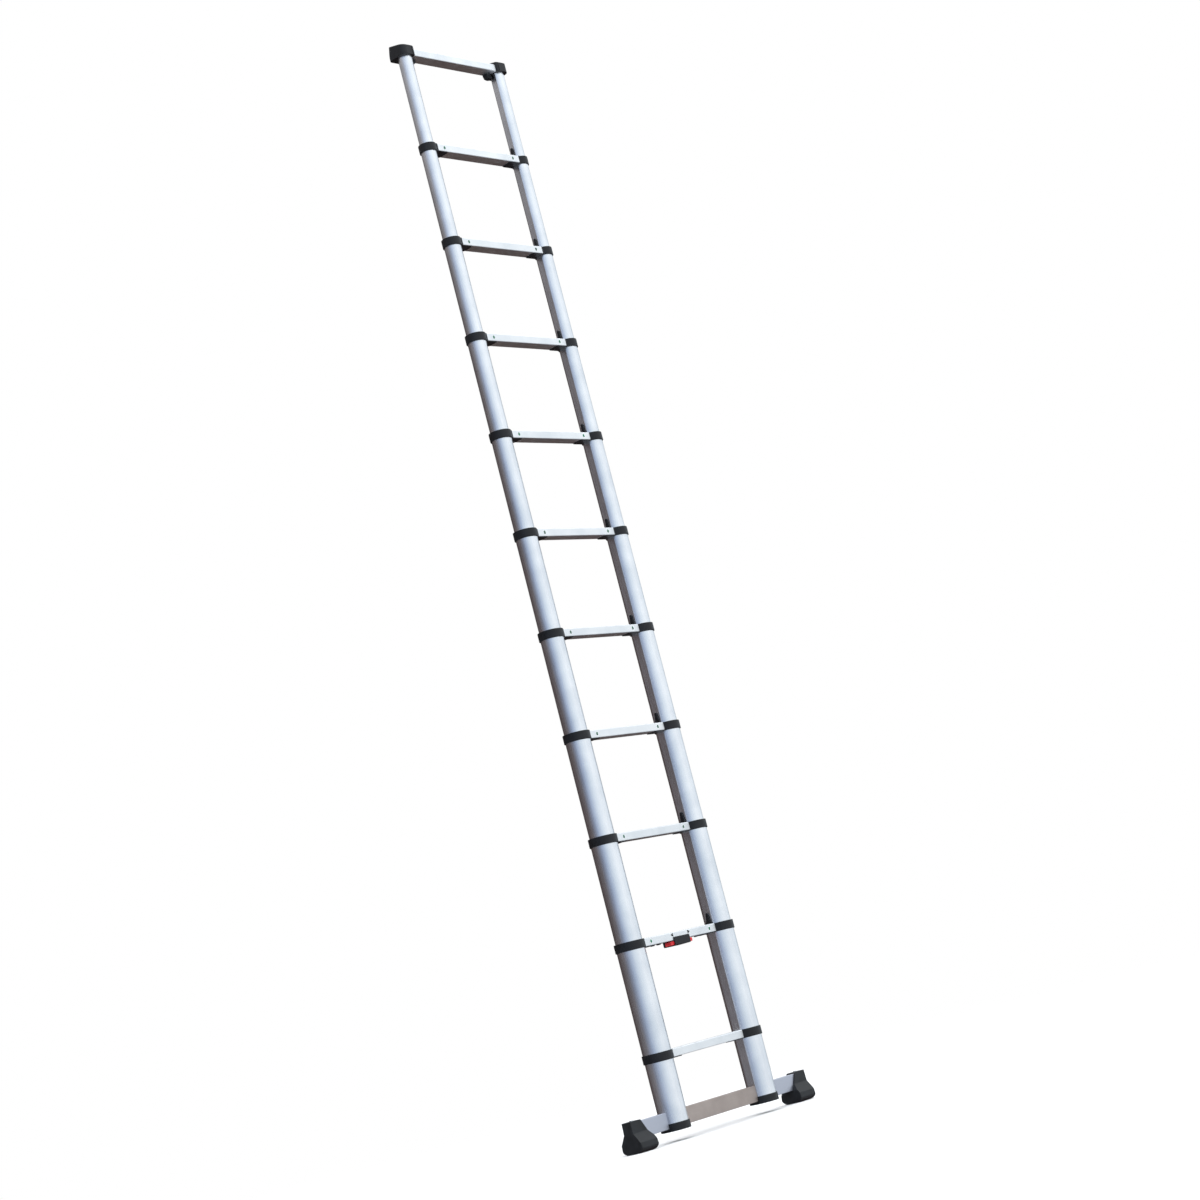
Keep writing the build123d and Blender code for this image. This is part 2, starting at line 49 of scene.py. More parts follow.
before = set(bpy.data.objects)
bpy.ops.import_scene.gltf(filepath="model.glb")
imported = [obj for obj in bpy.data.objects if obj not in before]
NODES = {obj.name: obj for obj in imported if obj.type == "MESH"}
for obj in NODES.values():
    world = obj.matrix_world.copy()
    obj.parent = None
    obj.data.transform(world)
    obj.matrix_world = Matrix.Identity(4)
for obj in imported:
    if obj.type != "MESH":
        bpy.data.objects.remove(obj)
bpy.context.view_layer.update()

MM = 0.001
RUNGS = 11
SECTIONS = RUNGS - 1
WINDOW_INSET = 26 * MM      # window centre to the end of its rung
HALF_RUNG = 11 * MM         # half the height of a rung without its tread ribs
LEAN = math.radians(15)     # the wall pads stand upright when the ladder leans this much
SIDES = (-1, 1)             # left and right; the front of the ladder faces -Y
FACING = 0.9                # least cosine between a face's normal and the way it must face


# --- places worked out from the frame ---------------------------------------------------------
def section_of(rung):
    """Number of the section that carries a rung."""
    return max(1, rung - 1)


def body_of(rung):
    return f"section_{section_of(rung)}"


def rung_place(rung):
    """Half length, half depth and middle height of a rung, whose treads stand on its top."""
    low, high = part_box(f"rung_{rung}")
    return high.x, high.y, low.z + HALF_RUNG


def stile_axis():
    """Distance of each stile's axis from the middle of the ladder."""
    _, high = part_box("stile_tubes_1")
    return high.x - high.y


# --- modelling helpers ------------------------------------------------------------------------
def choose(*pieces):
    bpy.ops.object.select_all(action="DESELECT")
    for piece in pieces:
        piece.select_set(True)
    bpy.context.view_layer.objects.active = pieces[-1]


def edit(piece):
    choose(piece)
    bpy.ops.object.mode_set(mode="EDIT")
    bpy.ops.mesh.select_mode(type="FACE")
    bpy.ops.mesh.select_all(action="SELECT")


def leave_edit():
    bpy.ops.object.mode_set(mode="OBJECT")


def apply_modifier(piece, kind, **settings):
    modifier = piece.modifiers.new(kind.title(), kind)
    for name, value in settings.items():
        setattr(modifier, name, value)
    choose(piece)
    bpy.ops.object.modifier_apply(modifier=modifier.name)


def round_edges(piece, width, segments=2, angle=35):
    apply_modifier(
        piece, "BEVEL", width=width, segments=segments, limit_method="ANGLE",
        angle_limit=math.radians(angle), use_clamp_overlap=False, harden_normals=False,
    )


def select_faces(piece, wanted):
    """In edit mode, select the faces whose normal and centre the test accepts."""
    mesh = bmesh.from_edit_mesh(piece.data)
    for face in mesh.faces:
        face.select_set(wanted(face.normal, face.calc_center_median()))
    bmesh.update_edit_mesh(piece.data)


def extrude_selected(offset):
    bpy.ops.mesh.extrude_region_move(TRANSFORM_OT_translate={"value": offset})


def settle(piece):
    """Put the piece's place into its mesh, so that its object sits at the origin."""
    choose(piece)
    bpy.ops.object.transform_apply(location=True, rotation=True, scale=True)
    edit(piece)
    bpy.ops.mesh.normals_make_consistent(inside=False)
    leave_edit()


def new_active(name):
    piece = bpy.context.view_layer.objects.active
    piece.name = name
    piece.data.name = name
    return piece


def block(name, low, high):
    """Box between two corners, ready to be shaped."""
    low, high = Vector(low), Vector(high)
    bpy.ops.object.select_all(action="DESELECT")
    bpy.ops.mesh.primitive_cube_add(size=1, location=(low + high) / 2)
    piece = new_active(name)
    piece.scale = high - low
    settle(piece)
    return piece


def disc(name, radius, depth, centre, axis, sides):
    """Short cylinder centred on a point, standing along an axis."""
    turn = Vector((0, 0, 1)).rotation_difference(Vector(axis)).to_euler()
    bpy.ops.object.select_all(action="DESELECT")
    bpy.ops.mesh.primitive_cylinder_add(
        vertices=sides, radius=radius, depth=depth, location=centre, rotation=turn
    )
    piece = new_active(name)
    settle(piece)
    return piece


def join(name, pieces):
    choose(*pieces)
    bpy.ops.object.join()
    return new_active(name)


def copies(name, pattern, places, keep=False):
    """Copies of a piece modelled at the origin, each with its own mesh, moved to the places and
    joined. The pattern is removed unless it is kept for more."""
    made = []
    for place in places:
        piece = pattern.copy()
        piece.data = pattern.data.copy()
        bpy.context.scene.collection.objects.link(piece)
        piece.location = place
        settle(piece)
        made.append(piece)
    if not keep:
        bpy.data.objects.remove(pattern)
    return join(name, made)


def fit(piece, body, material, slot, *replaced):
    """Finish a piece: smooth shading, its material and its body, and hide the parts it replaces."""
    choose(piece)
    bpy.ops.object.shade_smooth_by_angle(angle=math.radians(32))
    apply_modifier(piece, "WEIGHTED_NORMAL", keep_sharp=True, weight=100)
    piece.data.materials.clear()
    piece.data.materials.append(material)
    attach(piece, body)
    if replaced:
        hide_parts(*replaced)
    return piece


def moulding(name, node, edge, segments=2, angle=35):
    """Merged copy of a CAD node with its sharp edges rounded, as a moulding has them."""
    piece = NODES[node].copy()
    piece.data = NODES[node].data.copy()
    for key in list(piece.keys()):
        del piece[key]      # the marks that the frame puts on its own parts
    piece.name = name
    piece.data.name = name
    piece.parent = None
    bpy.context.scene.collection.objects.link(piece)
    edit(piece)
    bpy.ops.mesh.remove_doubles(threshold=0.002 * MM)
    bpy.ops.mesh.dissolve_limited(angle_limit=math.radians(0.5))
    leave_edit()
    round_edges(piece, edge, segments, angle)
    return piece


# --- materials --------------------------------------------------------------------------------
def linear(code):
    """sRGB hex colour to linear RGBA."""
    channels = [int(code[i:i + 2], 16) / 255 for i in (1, 3, 5)]
    values = [c / 12.92 if c <= 0.04045 else ((c + 0.055) / 1.055) ** 2.4 for c in channels]
    return (*values, 1.0)


def add_node(tree, kind, settings=None, inputs=None):
    """Add a node, set its properties and fill or link its inputs."""
    node = tree.nodes.new(kind)
    for name, value in (settings or {}).items():
        setattr(node, name, value)
    for name, value in (inputs or {}).items():
        if isinstance(value, bpy.types.NodeSocket):
            tree.links.new(value, node.inputs[name])
        else:
            node.inputs[name].default_value = value
    return node


def new_material(name, colour, metallic, roughness, **sockets):
    material = bpy.data.materials.new(name)
    material.use_nodes = True
    shader = material.node_tree.nodes["Principled BSDF"]
    shader.inputs["Base Color"].default_value = linear(colour)
    shader.inputs["Metallic"].default_value = metallic
    shader.inputs["Roughness"].default_value = roughness
    for socket, value in sockets.items():
        shader.inputs[socket.replace("_", " ")].default_value = value
    return material, material.node_tree, shader


def brushed_aluminium(name, along, dark, light, rough_low, rough_high):
    """Extruded and satin-anodised aluminium. Die lines run along the bar and soften highlights
    across it, and the anodised skin is a little cloudy. Real die lines are about 0.1 mm apart;
    they are drawn near 0.8 mm so that they show."""
    material, tree, shader = new_material(name, light, 1.0, rough_low)
    stretch = [1.0, 1.0, 1.0]
    stretch[along] = 0.012
    place = add_node(tree, "ShaderNodeTexCoord")
    drawn = add_node(
        tree, "ShaderNodeMapping", inputs={"Vector": place.outputs["Object"], "Scale": stretch}
    )
    lines = add_node(
        tree, "ShaderNodeTexNoise",
        inputs={"Vector": drawn.outputs["Vector"], "Scale": 1 / (0.8 * MM), "Detail": 3.0},
    )
    clouds = add_node(
        tree, "ShaderNodeTexNoise",
        inputs={"Vector": place.outputs["Object"], "Scale": 1 / (60 * MM), "Detail": 4.0},
    )
    shade = add_node(
        tree, "ShaderNodeMapRange",
        inputs={"Value": clouds.outputs["Fac"], "From Min": 0.3, "From Max": 0.7},
    )
    colour = add_node(
        tree, "ShaderNodeMix", {"data_type": "RGBA"},
        {"Factor": shade.outputs["Result"], "A": linear(dark), "B": linear(light)},
    )
    rough = add_node(
        tree, "ShaderNodeMapRange",
        inputs={"Value": lines.outputs["Fac"], "From Min": 0.3, "From Max": 0.7,
                "To Min": rough_low, "To Max": rough_high},
    )
    relief = add_node(
        tree, "ShaderNodeBump", inputs={"Height": lines.outputs["Fac"], "Distance": 0.012 * MM}
    )
    tree.links.new(colour.outputs["Result"], shader.inputs["Base Color"])
    tree.links.new(rough.outputs["Result"], shader.inputs["Roughness"])
    tree.links.new(relief.outputs["Normal"], shader.inputs["Normal"])
    return material


def bar_aluminium_with_painted_reflections():
    """Mill-finish aluminium of the stabiliser bar: duller than the anodised parts, with painted
    reflections in its colour, warm and darker between the stiles and cooler and lighter at the
    ends."""
    # The warm, darker base colours are a painted reflection of the brown surroundings.
    material = brushed_aluminium("mill_finish_aluminium_bar_painted_reflections", 0, "#AA9E98", "#BAAEA8", 0.38, 0.5)
    tree = material.node_tree
    shader = tree.nodes["Principled BSDF"]
    painted_warm_reflection = shader.inputs["Base Color"].links[0].from_socket
    place = add_node(tree, "ShaderNodeTexCoord")
    axes = add_node(tree, "ShaderNodeSeparateXYZ", inputs={"Vector": place.outputs["Object"]})
    aside = add_node(tree, "ShaderNodeMath", {"operation": "ABSOLUTE"})
    tree.links.new(axes.outputs["X"], aside.inputs[0])
    # Mask across the stiles: the painted warm reflection inside, the painted cool reflection
    # outside.
    ends = add_node(
        tree, "ShaderNodeMapRange",
        inputs={"Value": aside.outputs[0], "From Min": stile_axis() - 20 * MM,
                "From Max": stile_axis() + 20 * MM},
    )
    # Painted cool, lighter reflection on the ends of the bar beyond the stiles.
    painted_cool_reflection = add_node(
        tree, "ShaderNodeMix", {"data_type": "RGBA"},
        {"Factor": ends.outputs["Result"], "A": painted_warm_reflection, "B": linear("#BFC3CF")},
    )
    tree.links.new(painted_cool_reflection.outputs["Result"], shader.inputs["Base Color"])
    return material


def moulded_plastic(name, dark, light, roughness, grain, depth, **sockets):
    """Injection-moulded plastic: a fine spark-eroded grain that breaks up the sheen, drawn at
    grain metres, and a slight drift of shade where the melt flowed."""
    material, tree, shader = new_material(name, light, 0.0, roughness, **sockets)
    place = add_node(tree, "ShaderNodeTexCoord")
    pits = add_node(
        tree, "ShaderNodeTexNoise",
        inputs={"Vector": place.outputs["Object"], "Scale": 1 / grain, "Detail": 2.0},
    )
    flow = add_node(
        tree, "ShaderNodeTexNoise",
        inputs={"Vector": place.outputs["Object"], "Scale": 1 / (25 * MM), "Detail": 3.0},
    )
    shade = add_node(
        tree, "ShaderNodeMapRange",
        inputs={"Value": flow.outputs["Fac"], "From Min": 0.3, "From Max": 0.7},
    )
    colour = add_node(
        tree, "ShaderNodeMix", {"data_type": "RGBA"},
        {"Factor": shade.outputs["Result"], "A": linear(dark), "B": linear(light)},
    )
    rough = add_node(
        tree, "ShaderNodeMapRange",
        inputs={"Value": flow.outputs["Fac"], "From Min": 0.3, "From Max": 0.7,
                "To Min": roughness - 0.05, "To Max": roughness + 0.05},
    )
    relief = add_node(
        tree, "ShaderNodeBump", inputs={"Height": pits.outputs["Fac"], "Distance": depth}
    )
    tree.links.new(colour.outputs["Result"], shader.inputs["Base Color"])
    tree.links.new(rough.outputs["Result"], shader.inputs["Roughness"])
    tree.links.new(relief.outputs["Normal"], shader.inputs["Normal"])
    return material


def zinc_plated_steel():
    """Zinc-plated steel: a bright, slightly cloudy skin, as on screws, rivets and pins."""
    material, tree, shader = new_material("zinc_plated_steel", "#C4C6C8", 1.0, 0.3)
    place = add_node(tree, "ShaderNodeTexCoord")
    clouds = add_node(
        tree, "ShaderNodeTexNoise",
        inputs={"Vector": place.outputs["Object"], "Scale": 1 / (3 * MM), "Detail": 3.0},
    )
    rough = add_node(
        tree, "ShaderNodeMapRange",
        inputs={"Value": clouds.outputs["Fac"], "From Min": 0.3, "From Max": 0.7,
                "To Min": 0.22, "To Max": 0.4},
    )
    relief = add_node(
        tree, "ShaderNodeBump", inputs={"Height": clouds.outputs["Fac"], "Distance": 0.02 * MM}
    )
    tree.links.new(rough.outputs["Result"], shader.inputs["Roughness"])
    tree.links.new(relief.outputs["Normal"], shader.inputs["Normal"])
    return material


MATERIALS = {}


class LADDER_OT_make_finishes(bpy.types.Operator):
    """Make the materials of the aluminium, plastic, rubber and steel parts"""

    bl_idname = "ladder.make_finishes"
    bl_label = "Make finishes"

    def execute(self, context):
        # Clear anodised: the round tubes are smoother and brighter than the rungs.
        MATERIALS["stile"] = brushed_aluminium(
            "anodised_aluminium_stile", 2, "#E4E8EE", "#F4F6FA", 0.24, 0.33
        )
        MATERIALS["rung"] = brushed_aluminium(
            "anodised_aluminium_rung", 0, "#E6EAEE", "#F6F8FA", 0.34, 0.46
        )
        # Bar aluminium whose colour holds painted reflections, warm between the stiles and cool at
        # the ends.
        MATERIALS["bar"] = bar_aluminium_with_painted_reflections()
        # Near-black nylon with a broad, low sheen from its textured mould.
        MATERIALS["nylon"] = moulded_plastic(
            "glass_filled_nylon", "#0C0D11", "#15171C", 0.42, 0.9 * MM, 0.05 * MM,
            Specular_IOR_Level=0.36,
        )
        # Slightly greyer and duller than the nylon, as rubber blooms.
        MATERIALS["rubber"] = moulded_plastic(
            "moulded_rubber_boot", "#121417", "#1D2024", 0.46, 1.2 * MM, 0.06 * MM,
            Specular_IOR_Level=0.34,
        )
        # Soft matt rubber that hardly shines.
        MATERIALS["pad"] = moulded_plastic(
            "soft_grip_rubber_pad", "#101113", "#191B1D", 0.7, 1.0 * MM, 0.08 * MM
        )
        # Glossy red ABS, deeper where the melt flowed thin.
        MATERIALS["red"] = moulded_plastic(
            "red_abs_button", context.scene.ladder_colours.button, "#E0353A", 0.3, 0.8 * MM,
            0.02 * MM, Coat_Weight=0.2,
        )
        # Dark green acrylic, mixed in patches with a lighter teal that is a painted highlight.
        MATERIALS["lens"] = moulded_plastic(
            "green_acrylic_lens", "#011A13", "#0A7A55", 0.4, 0.8 * MM, 0.01 * MM
        )
        # Satin white, a little brighter than the aluminium around it.
        MATERIALS["frame"] = moulded_plastic(
            "white_polycarbonate_window_frame", "#E9ECEC", "#F7F8F8", 0.4, 0.8 * MM, 0.01 * MM
        )
        # Thin flat black film.
        MATERIALS["ink"] = moulded_plastic(
            "black_print_ink", "#060607", "#0C0D0E", 0.6, 0.6 * MM, 0.01 * MM
        )
        MATERIALS["steel"] = zinc_plated_steel()
        return {"FINISHED"}


# --- settings ---------------------------------------------------------------------------------
class LadderSizes(bpy.types.PropertyGroup):
    edge: bpy.props.FloatProperty(
        name="Moulded edge", description="Rounding of the edges of the plastic mouldings",
        default=0.6 * MM, min=0.1 * MM, max=2 * MM, unit="LENGTH",
    )
    lens_width: bpy.props.FloatProperty(
        name="Window width", description="Width of the green window that shows a locked pin",
        default=6.6 * MM, unit="LENGTH",
    )
    lens_height: bpy.props.FloatProperty(
        name="Window height", description="Height of the green window that shows a locked pin",
        default=9.6 * MM, unit="LENGTH",
    )
    rivet_radius: bpy.props.FloatProperty(
        name="Rivet radius", description="Radius of the blind rivets behind the rungs",
        default=3.4 * MM, unit="LENGTH",
    )
    arrow: bpy.props.FloatProperty(
        name="Arrow size", description="Radius of the printed arrowheads above the buttons",
        default=6.4 * MM, unit="LENGTH",
    )


class LadderColours(bpy.types.PropertyGroup):
    button: bpy.props.StringProperty(
        name="Buttons", description="Darker sRGB hex colour of the release buttons",
        default="#C01A22",
    )
    floor: bpy.props.FloatVectorProperty(
        name="Floor", description="Colour of the studio floor", subtype="COLOR",
        size=4, default=linear("#F4F4F4"), min=0, max=1,
    )


# --- aluminium and steel ----------------------------------------------------------------------
def dress(node, material):
    """Give a CAD node its finish and leave its mesh alone."""
    for slot in NODES[node].material_slots:
        slot.material = material


class LADDER_OT_dress_aluminium(bpy.types.Operator):
    """Finish the stile tubes, rungs and stabiliser bar"""

    bl_idname = "ladder.dress_aluminium"
    bl_label = "Finish aluminium"

    def execute(self, context):
        for section in range(1, SECTIONS + 1):
            dress(f"stile_tubes_{section}", MATERIALS["stile"])
        for rung in range(1, RUNGS + 1):
            dress(f"rung_{rung}", MATERIALS["rung"])
        dress("stabiliser_bar", MATERIALS["bar"])
        return {"FINISHED"}


class LADDER_OT_dress_steel(bpy.types.Operator):
    """Finish the lock pins and the foot screws"""

    bl_idname = "ladder.dress_steel"
    bl_label = "Finish steel"

    def execute(self, context):
        for rung in range(2, RUNGS):
            for side in ("left", "right"):
                dress(f"lock_pin_{rung}_{side}", MATERIALS["steel"])
        dress("foot_screws", MATERIALS["steel"])
        return {"FINISHED"}


# --- mouldings --------------------------------------------------------------------------------
class LADDER_OT_mould_collars(bpy.types.Operator):
    """Round the edges of the collars and of the brackets of the lowest rung"""

    bl_idname = "ladder.mould_collars"
    bl_label = "Mould collars"

    def execute(self, context):
        edge = context.scene.ladder_sizes.edge
        for section in range(1, SECTIONS):
            node = "collars_1" if section == 1 else f"collars_and_bushes_{section}"
            piece = moulding(f"collar_mouldings_{section}", node, edge)
            fit(piece, f"section_{section}", MATERIALS["nylon"], "black_plastic", node)
        piece = moulding("lowest_rung_brackets", "rung_1_brackets", edge)
        fit(piece, "section_1", MATERIALS["nylon"], "black_plastic", "rung_1_brackets")
        return {"FINISHED"}


class LADDER_OT_mould_top_caps(bpy.types.Operator):
    """Round the top caps and give them a rib and a grooved wall pad"""

    bl_idname = "ladder.mould_top_caps"
    bl_label = "Mould top caps"

    def execute(self, context):
        edge = context.scene.ladder_sizes.edge
        node = "top_caps_and_bushes"
        piece = moulding("top_cap_mouldings", node, 1.6 * edge, 3, angle=60)
        body = f"section_{SECTIONS}"
        fit(piece, body, MATERIALS["nylon"], "black_plastic", node)
        fit(self.ribs(), body, MATERIALS["nylon"], "black_plastic")
        fit(self.wall_pads(), body, MATERIALS["pad"], "boot_rubber")
        return {"FINISHED"}

    def ribs(self):
        """Upright rib on the front of each cap, beside the rung."""
        half, _, middle = rung_place(RUNGS)
        low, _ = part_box("top_caps_and_bushes")
        rib = block("rib", (-1.4 * MM, -0.9 * MM, -10 * MM), (1.4 * MM, 6 * MM, 13 * MM))
        round_edges(rib, 0.7 * MM, 3)
        places = [(side * (half + 9 * MM), low.y, middle) for side in SIDES]
        return copies("top_cap_ribs", rib, places)

    def wall_pads(self):
        """Rubber pad on the tilted back of each cap, with grooves across it."""
        _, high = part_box("top_caps_and_bushes")
        _, _, middle = rung_place(RUNGS)
        width, height, thickness = 44 * MM, 30 * MM, 3 * MM
        spacing, strip_height = 6.2 * MM, 4.8 * MM
        strip = block("strip", (-width / 2, -thickness, -strip_height / 2),
                      (width / 2, 1.1 * MM, strip_height / 2))
        round_edges(strip, 0.8 * MM, 3)
        strips = copies("strips", strip, [(0, 0, index * spacing) for index in range(-2, 3)])
        backing = block("backing", (-width / 2, -thickness, -height / 2),
                        (width / 2, 0.3 * MM, height / 2))
        round_edges(backing, 0.25 * MM, 2)
        pad = join("wall_pad", [strips, backing])
        pad.rotation_euler = (LEAN, 0, 0)
        settle(pad)
        back = high.y - math.tan(LEAN) * 21.5 * MM
        places = [(side * stile_axis(), back, middle + 7 * MM) for side in SIDES]
        return copies("wall_pad_strips", pad, places)


class LADDER_OT_mould_feet(bpy.types.Operator):
    """Round the stile feet"""

    bl_idname = "ladder.mould_feet"
    bl_label = "Mould feet"

    def execute(self, context):
        piece = moulding("stile_foot_mouldings", "stile_feet", context.scene.ladder_sizes.edge)
        fit(piece, "section_1", MATERIALS["nylon"], "black_plastic", "stile_feet")
        return {"FINISHED"}


class LADDER_OT_mould_boots(bpy.types.Operator):
    """Round the boots, groove their soles and screw them to the bar"""

    bl_idname = "ladder.mould_boots"
    bl_label = "Mould boots"

    def execute(self, context):
        pattern = self.top_screw()
        for side in ("left", "right"):
            node = f"boot_{side}"
            low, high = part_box(node)
            piece = moulding(f"boot_moulding_{side}", node, 1.1 * MM, 2, angle=14)
            cutter = self.sole_grooves(low, high)
            apply_modifier(piece, "BOOLEAN", object=cutter, operation="DIFFERENCE", solver="EXACT")
            bpy.data.objects.remove(cutter)
            fit(piece, "section_1", MATERIALS["rubber"], "boot_rubber", node)
            inner, outer = (low.x, high.x) if side == "right" else (high.x, low.x)
            place = (outer + (inner - outer) * 0.33, 0, high.z + 0.7 * MM)
            screw = copies(f"boot_screw_{side}", pattern, [place], keep=True)
            fit(screw, "section_1", MATERIALS["steel"], "screw_steel")
        bpy.data.objects.remove(pattern)
        return {"FINISHED"}

    def sole_grooves(self, low, high):
        """Cutter for five grooves that run across a sole, from one end of the boot to the other."""
        spacing, width = 9 * MM, 2.6 * MM
        groove = block("groove", (low.x - MM, -width / 2, -MM), (high.x + MM, width / 2, 2 * MM))
        return copies("grooves", groove, [(0, index * spacing, 0) for index in range(-2, 3)])

    def top_screw(self):
        """Pan-head screw that holds a boot to the bar."""
        screw = disc("boot_screw", 4.6 * MM, 3 * MM, (0, 0, 0), (0, 0, 1), 32)
        edit(screw)
        select_faces(screw, lambda normal, place: normal.z > FACING)
        bpy.ops.mesh.inset(thickness=2.4 * MM)
        extrude_selected((0, 0, -1.4 * MM))
        leave_edit()
        round_edges(screw, 0.6 * MM, 3)
        return screw


class LADDER_OT_mould_release(bpy.types.Operator):
    """Round the release housing and buttons and rib the buttons"""

    bl_idname = "ladder.mould_release"
    bl_label = "Mould release unit"

    def execute(self, context):
        edge = context.scene.ladder_sizes.edge
        housing = moulding("release_housing_moulding", "release_housing", 1.4 * edge, 3)
        fit(housing, "section_1", MATERIALS["nylon"], "black_plastic", "release_housing")
        for side in ("left", "right"):
            node = f"release_button_{side}"
            button = moulding(f"release_button_moulding_{side}", node, 0.5 * MM, 2)
            fit(button, f"release_{side}", MATERIALS["red"], "red_plastic", node)
            fit(self.grip_ribs(side), f"release_{side}", MATERIALS["red"], "red_plastic")
        return {"FINISHED"}

    def grip_ribs(self, side):
        """Finger ribs along the underside and front of a button's end."""
        sign = -1 if side == "left" else 1
        _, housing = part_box("release_housing")
        low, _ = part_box(f"release_button_{side}")
        half_width, proud, sunk = 0.7 * MM, 0.5 * MM, 0.6 * MM
        front = block("front", (-half_width, -proud, 2 * MM), (half_width, sunk, 8 * MM))
        under = block("under", (-half_width, 2 * MM, -proud), (half_width, 21 * MM, sunk))
        rib = join("rib", [front, under])
        round_edges(rib, 0.35 * MM, 2)
        places = [
            (sign * (housing.x + (4.5 + 3.2 * index) * MM), low.y, low.z) for index in range(3)
        ]
        return copies(f"button_grip_ribs_{side}", rib, places)


# --- fittings ---------------------------------------------------------------------------------
def stadium(name, width, height, depth):
    """Upright plate with round ends, standing out to the front from the origin."""
    bpy.ops.object.select_all(action="DESELECT")
    bpy.ops.mesh.primitive_cylinder_add(
        vertices=34, radius=width / 2, depth=depth, rotation=(math.radians(90), 0, 0),
    )
    piece = new_active(name)
    settle(piece)
    stretch = (height - width) / 2
    for side in SIDES:
        edit(piece)
        bpy.ops.mesh.select_mode(type="VERT")
        mesh = bmesh.from_edit_mesh(piece.data)
        for vertex in mesh.verts:
            vertex.select_set(side * vertex.co.z > 0)
        mesh.select_flush_mode()
        bmesh.update_edit_mesh(piece.data)
        bpy.ops.transform.translate(value=(0, 0, side * stretch))
        leave_edit()
    piece.location = (0, -depth / 2, 0)
    settle(piece)
    return piece


class LADDER_OT_fit_windows(bpy.types.Operator):
    """Fit a green window in a white frame at both ends of each locking rung"""

    bl_idname = "ladder.fit_windows"
    bl_label = "Fit windows"

    def execute(self, context):
        sizes = context.scene.ladder_sizes
        frame_pattern = self.window_frame(sizes)
        lens_pattern = self.lens(sizes)
        sunk = Vector((0, 0.2 * MM, 0))
        for rung in range(2, RUNGS):
            half, depth, middle = rung_place(rung)
            places = [Vector((side * (half - WINDOW_INSET), -depth, middle)) for side in SIDES]
            frames = copies(f"window_frames_{rung}", frame_pattern, places, keep=True)
            fit(frames, body_of(rung), MATERIALS["frame"], "rung_aluminium")
            places = [place + sunk for place in places]
            lenses = copies(f"window_lenses_{rung}", lens_pattern, places, keep=True)
            fit(lenses, body_of(rung), MATERIALS["lens"], "black_plastic")
        bpy.data.objects.remove(frame_pattern)
        bpy.data.objects.remove(lens_pattern)
        return {"FINISHED"}

    def window_frame(self, sizes):
        """Flat frame with a lip around the lens and a hollow for it."""
        lip = 2.0 * MM
        width, height = sizes.lens_width + lip, sizes.lens_height + lip
        piece = stadium("window_frame", width, height, 0.5 * MM)
        edit(piece)
        select_faces(piece, lambda normal, place: normal.y < -FACING)
        bpy.ops.mesh.inset(thickness=lip / 2)
        extrude_selected((0, 0.9 * MM, 0))
        leave_edit()
        round_edges(piece, 0.15 * MM, 2)
        return piece

    def lens(self, sizes):
        """Domed lens that stands just inside the frame."""
        piece = stadium("lens", sizes.lens_width, sizes.lens_height, 0.8 * MM)
        edit(piece)
        select_faces(piece, lambda normal, place: normal.y < -FACING)
        bpy.ops.mesh.inset(thickness=1.0 * MM)
        bpy.ops.transform.translate(value=(0, -0.35 * MM, 0))
        leave_edit()
        round_edges(piece, 0.2 * MM, 2)
        return piece


class LADDER_OT_fit_rivets(bpy.types.Operator):
    """Rivet the brackets to the back of each end of the rungs"""

    bl_idname = "ladder.fit_rivets"
    bl_label = "Fit rivets"

    def execute(self, context):
        pattern = self.rivet(context.scene.ladder_sizes.rivet_radius)
        for rung in range(1, RUNGS + 1):
            half, depth, middle = rung_place(rung)
            places = [(side * (half - 9 * MM), depth, middle) for side in SIDES]
            rivets = copies(f"rung_rivets_{rung}", pattern, places, keep=True)
            fit(rivets, body_of(rung), MATERIALS["steel"], "screw_steel")
        bpy.data.objects.remove(pattern)
        return {"FINISHED"}

    def rivet(self, radius):
        """Blind rivet: a domed head with the hollow that its mandrel leaves."""
        piece = disc("rivet", radius, 1.6 * MM, (0, 0.6 * MM, 0), (0, 1, 0), 24)
        edit(piece)
        select_faces(piece, lambda normal, place: normal.y > FACING)
        bpy.ops.mesh.inset(thickness=radius * 0.62)
        extrude_selected((0, -0.9 * MM, 0))
        leave_edit()
        round_edges(piece, 0.5 * MM, 3)
        return piece


class LADDER_OT_fit_rod_clips(bpy.types.Operator):
    """Clip the pull rods under the second rung"""

    bl_idname = "ladder.fit_rod_clips"
    bl_label = "Fit rod clips"

    def execute(self, context):
        clip = block("clip", (-4 * MM, -9 * MM, -3.2 * MM), (4 * MM, 1 * MM, 1 * MM))
        edit(clip)
        select_faces(clip, lambda normal, place: normal.z < -FACING)
        bpy.ops.mesh.inset(thickness=1.4 * MM)
        extrude_selected((0, 0, 1.2 * MM))
        leave_edit()
        round_edges(clip, 0.5 * MM, 2)
        _, _, middle = rung_place(2)
        under = middle - HALF_RUNG
        places = [(side * x, 0, under) for side in SIDES for x in (80 * MM, 105 * MM)]
        clips = copies("pull_rod_clips", clip, places)
        fit(clips, "section_1", MATERIALS["nylon"], "black_plastic")
        return {"FINISHED"}


class LADDER_OT_print_marks(bpy.types.Operator):
    """Print the arrowheads that say which way the release buttons move"""

    bl_idname = "ladder.print_marks"
    bl_label = "Print marks"

    def execute(self, context):
        size = context.scene.ladder_sizes.arrow
        _, depth, middle = rung_place(2)
        pattern = disc("arrow", size, 0.3 * MM, (0, 0, 0), (0, -1, 0), 3)
        made = []
        for side in SIDES:
            place = (side * 34 * MM, -depth, middle + 4.2 * MM)
            pattern.rotation_euler = (0, side * math.radians(90), 0)
            made.append(copies("arrow", pattern, [place], keep=True))
        bpy.data.objects.remove(pattern)
        marks = join("release_arrows", made)
        fit(marks, "section_1", MATERIALS["ink"], "black_plastic")
        return {"FINISHED"}


